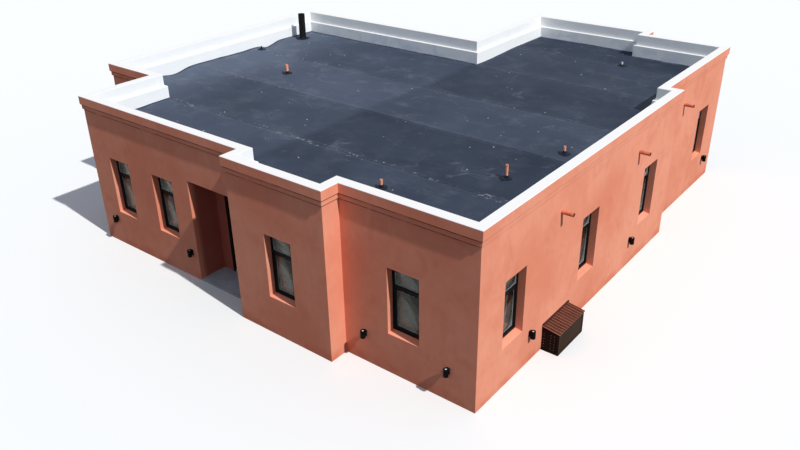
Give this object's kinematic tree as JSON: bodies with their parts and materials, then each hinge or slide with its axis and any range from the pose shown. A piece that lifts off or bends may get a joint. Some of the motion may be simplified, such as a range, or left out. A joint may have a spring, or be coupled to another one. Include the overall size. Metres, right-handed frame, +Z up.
{
  "type": "flat-roofed house",
  "caption": "Single-storey rendered house with a stepped white parapet round a flat dark roof, deep-set windows and a recessed entrance with a hinged door.",
  "frame": {"origin": "on the ground, under the middle of the walls' plan, at the underside of the floor slab", "axes": "+Z up, the street front with the entrance faces -Y, +X to the right as seen from the street"},
  "size_m": [12.955, 13.38, 3.7571],
  "materials": {
    "wall_render": "smooth terracotta-coloured render, matt",
    "parapet_paint": "white waterproof paint inside and on top, terracotta render outside",
    "concrete": "smooth grey concrete",
    "roof_membrane": "blue-black bitumen sheet with dust and lap marks",
    "black_aluminium": "black powder coat, satin",
    "window_glass": "clear double glazing with a dark room behind",
    "door_paint": "black powder coat, satin",
    "satin_steel": "satin",
    "light_black": "black powder coat, satin",
    "light_lens": "white, slightly frosted",
    "spout_paint": "painted with the wall",
    "vent_plastic": "terracotta-orange plastic pipe",
    "flue_black": "matt black",
    "collar_bitumen": "black bitumen, dressed by hand",
    "cover_timber": "brown stained softwood",
    "cover_boards": "dark brown stained softwood"
  },
  "bodies": {
    "house": {"front_left_wall": "wall_render", "porch_side_wall": "wall_render", "bay_left_wall": "wall_render", "bay_front_wall": "wall_render", "front_right_wall": "wall_render", "right_wall": "wall_render", "rear_right_wall": "wall_render", "back_right_wall": "wall_render", "back_wing_wall": "wall_render", "wing_left_wall": "wall_render", "back_left_wall": "wall_render", "left_wall": "wall_render", "left_front_wall": "wall_render", "front_side_wall": "wall_render", "return_walls": "wall_render", "door_wall": "wall_render", "door_lintel": "wall_render", "porch_beam": "wall_render", "floor_slab": "concrete", "porch_floor": "concrete", "roof_slab": "wall_render", "roof_covering": "roof_membrane", "front_parapet": "parapet_paint", "right_parapet": "parapet_paint", "back_parapet": "parapet_paint", "left_parapet": "parapet_paint", "front_window_frames": "black_aluminium", "right_window_frames": "black_aluminium", "back_window_frames": "black_aluminium", "left_window_frames": "black_aluminium", "window_glass": "window_glass", "door_frame": "black_aluminium", "frame_hinges": "satin_steel", "wall_lights": "light_black", "light_lenses": "light_lens", "roof_spouts": "spout_paint", "vent_pipes": "vent_plastic", "roof_flue": "flue_black", "pipe_collars": "collar_bitumen", "cover_frame": "cover_boards", "cover_lid": "cover_timber", "cover_boards": "cover_boards"},
    "door": {"door_leaf": "door_paint", "leaf_hinges": "satin_steel", "door_handle": "satin_steel"}
  },
  "joints": [
    {"name": "front_door_hinge", "type": "hinge", "parent": "house", "child": "door", "pos_m": [-0.585, -5.401, 0.1], "axis": [0, 0, 1], "range_deg": [0, 90]}
  ]
}
